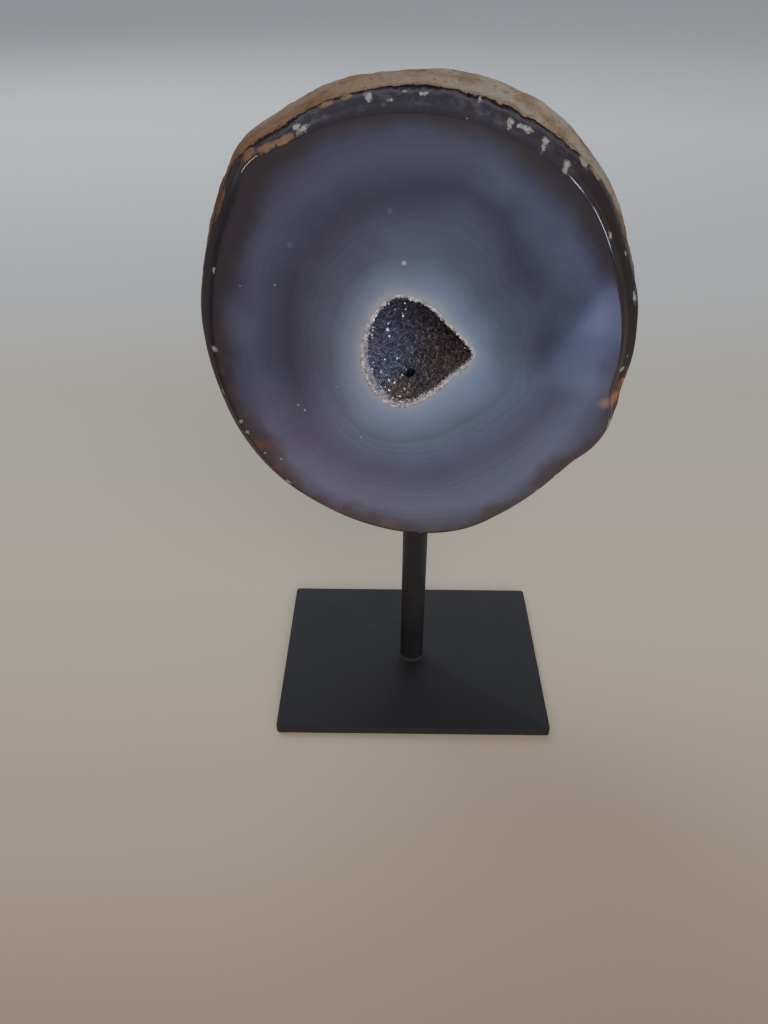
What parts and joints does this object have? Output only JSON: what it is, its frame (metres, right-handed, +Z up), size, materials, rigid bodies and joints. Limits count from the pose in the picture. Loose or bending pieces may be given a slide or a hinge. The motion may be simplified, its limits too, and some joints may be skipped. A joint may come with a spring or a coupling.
{
  "type": "agate on a stand",
  "caption": "Cut and polished agate half with a crystal-lined hollow, held upright by a thin black rod on a rectangular black foot plate.",
  "frame": {"origin": "middle of the foot plate's underside, under the rod", "axes": "+Z up along the rod, -Y the way the polished face looks, +X to the right as the face is seen"},
  "size_m": [0.1143, 0.068, 0.1873],
  "materials": {
    "agate": "polished banded agate on the face and bevel, rough tan rind behind",
    "quartz": "small glassy quartz crystals",
    "black_metal": "satin black"
  },
  "bodies": {
    "root": {"agate_stone": "agate", "quartz_crust": "quartz", "rod": "black_metal", "foot_plate": "black_metal"}
  },
  "joints": []
}
